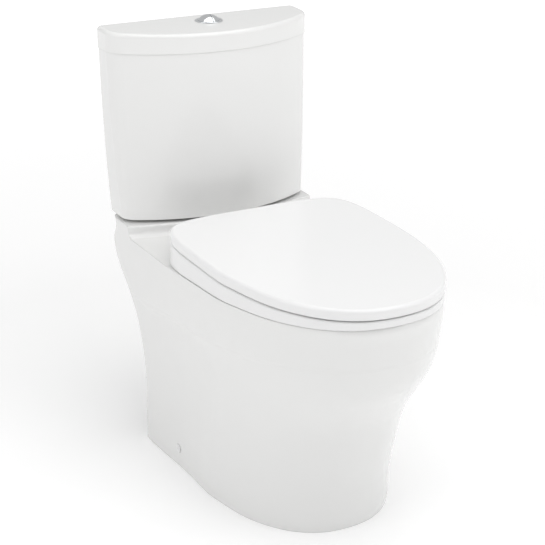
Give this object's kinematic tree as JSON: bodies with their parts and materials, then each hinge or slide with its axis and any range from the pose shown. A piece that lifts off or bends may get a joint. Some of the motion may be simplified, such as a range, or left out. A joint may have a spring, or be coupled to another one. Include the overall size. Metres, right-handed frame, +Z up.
{
  "type": "close coupled toilet",
  "caption": "Skirted floor-standing toilet with a tank bolted on its rear deck, dual push-button flush, and hinged soft-close seat and cover.",
  "frame": {"origin": "on the floor, under the middle of the toilet's overall length and width", "axes": "+Z up, front of the bowl towards -Y, the back of the tank towards +Y, +X to the right of someone facing the front"},
  "size_m": [0.395, 0.71, 0.7795],
  "materials": {
    "china": "gloss white glaze",
    "seat_plastic": "gloss white moulded",
    "chrome": "bright plated",
    "steel": "stainless",
    "brass": "turned",
    "rubber": "moulded black",
    "white_plastic": "moulded",
    "grey_plastic": "moulded",
    "clear_tube": "extruded soft tube"
  },
  "bodies": {
    "root": {"pan": "china", "tank": "china", "hinge_post_right": "chrome", "hinge_post_left": "chrome", "hinge_damper_right": "steel", "hinge_damper_left": "steel", "seat_bolts": "steel", "seat_washers": "rubber", "seat_wing_nuts": "white_plastic", "flush_valve_base": "white_plastic", "valve_base_gasket": "rubber", "valve_nut": "white_plastic", "tank_gasket": "rubber", "valve_tower": "white_plastic", "lever_pins": "steel", "tank_bolts": "brass", "tank_bolt_seals": "rubber", "tank_bolt_washers": "rubber", "tank_wing_nuts": "white_plastic", "fill_valve_body": "white_plastic", "fill_valve_gasket": "rubber", "fill_valve_nut": "white_plastic", "fill_valve_cap": "white_plastic", "refill_tube": "clear_tube", "refill_clip": "white_plastic", "outlet_adapter": "white_plastic", "outlet_seal": "rubber", "adapter_screws": "steel", "side_bracket_right": "steel", "side_bracket_left": "steel", "bracket_screws": "steel", "side_screws": "steel", "side_caps": "seat_plastic"},
    "cover": {"seat_cover": "seat_plastic", "cover_bumpers": "rubber"},
    "seat": {"seat_ring": "seat_plastic", "ring_bumpers": "rubber"},
    "lid": {"tank_lid": "china", "button_bezel": "chrome", "button_sleeve": "white_plastic", "button_nut": "white_plastic", "full_button_spring": "steel", "half_button_spring": "steel"},
    "full_button": {"full_flush_button": "chrome", "full_push_rod": "grey_plastic"},
    "half_button": {"half_flush_button": "chrome", "half_push_rod": "grey_plastic"},
    "full_lever": {"full_flush_lever": "grey_plastic"},
    "half_lever": {"half_flush_lever": "grey_plastic"},
    "flush_pipe": {"overflow_tube": "white_plastic", "valve_seal": "rubber"},
    "half_float": {"half_flush_float": "grey_plastic"},
    "fill_float": {"fill_valve_float": "grey_plastic", "float_link": "grey_plastic"},
    "fill_lever": {"fill_valve_lever": "grey_plastic"}
  },
  "joints": [
    {"name": "cover_hinge", "type": "hinge", "parent": "root", "child": "cover", "pos_m": [0, 0.138, 0.434], "axis": [-1, 0, 0], "range_deg": [0, 95]},
    {"name": "seat_hinge", "type": "hinge", "parent": "root", "child": "seat", "pos_m": [0, 0.138, 0.434], "axis": [-1, 0, 0], "range_deg": [0, 91.1]},
    {"name": "lid_lift", "type": "slide", "parent": "root", "child": "lid", "axis": [0, 0, 1], "range_m": [0, 0.12]},
    {"name": "full_flush_press", "type": "slide", "parent": "lid", "child": "full_button", "axis": [0, 0, -1], "range_m": [0, 0.008], "stiffness_N_per_m": 300, "deforming": ["full_button_spring"]},
    {"name": "half_flush_press", "type": "slide", "parent": "lid", "child": "half_button", "axis": [0, 0, -1], "range_m": [0, 0.008], "stiffness_N_per_m": 300, "deforming": ["half_button_spring"]},
    {"name": "full_lever_pivot", "type": "hinge", "parent": "root", "child": "full_lever", "pos_m": [0.026, 0.303, 0.669], "axis": [0, -1, 0], "range_deg": [0, 26]},
    {"name": "half_lever_pivot", "type": "hinge", "parent": "root", "child": "half_lever", "pos_m": [-0.026, 0.303, 0.669], "axis": [0, 1, 0], "range_deg": [0, 26]},
    {"name": "flush_pipe_lift", "type": "slide", "parent": "root", "child": "flush_pipe", "axis": [0, 0, 1], "range_m": [0, 0.0082]},
    {"name": "half_float_lift", "type": "slide", "parent": "root", "child": "half_float", "axis": [0, 0, 1], "range_m": [0, 0.0082]},
    {"name": "fill_float_rise", "type": "slide", "parent": "root", "child": "fill_float", "axis": [0, 0, 1], "range_m": [0, 0.02]},
    {"name": "fill_lever_pivot", "type": "hinge", "parent": "root", "child": "fill_lever", "pos_m": [-0.11, 0.303, 0.676], "axis": [0, 1, 0], "range_deg": [0, 29]}
  ],
  "couplings": [
    {"joint": "seat_hinge", "follows": "cover_hinge", "ratio": 0.95789},
    {"joint": "full_lever_pivot", "follows": "full_flush_press", "rad_per_m": 55.632},
    {"joint": "half_lever_pivot", "follows": "half_flush_press", "rad_per_m": 55.632},
    {"joint": "flush_pipe_lift", "follows": "full_flush_press", "ratio": 1},
    {"joint": "half_float_lift", "follows": "half_flush_press", "ratio": 1},
    {"joint": "fill_lever_pivot", "follows": "fill_float_rise", "rad_per_m": 24.816}
  ]
}
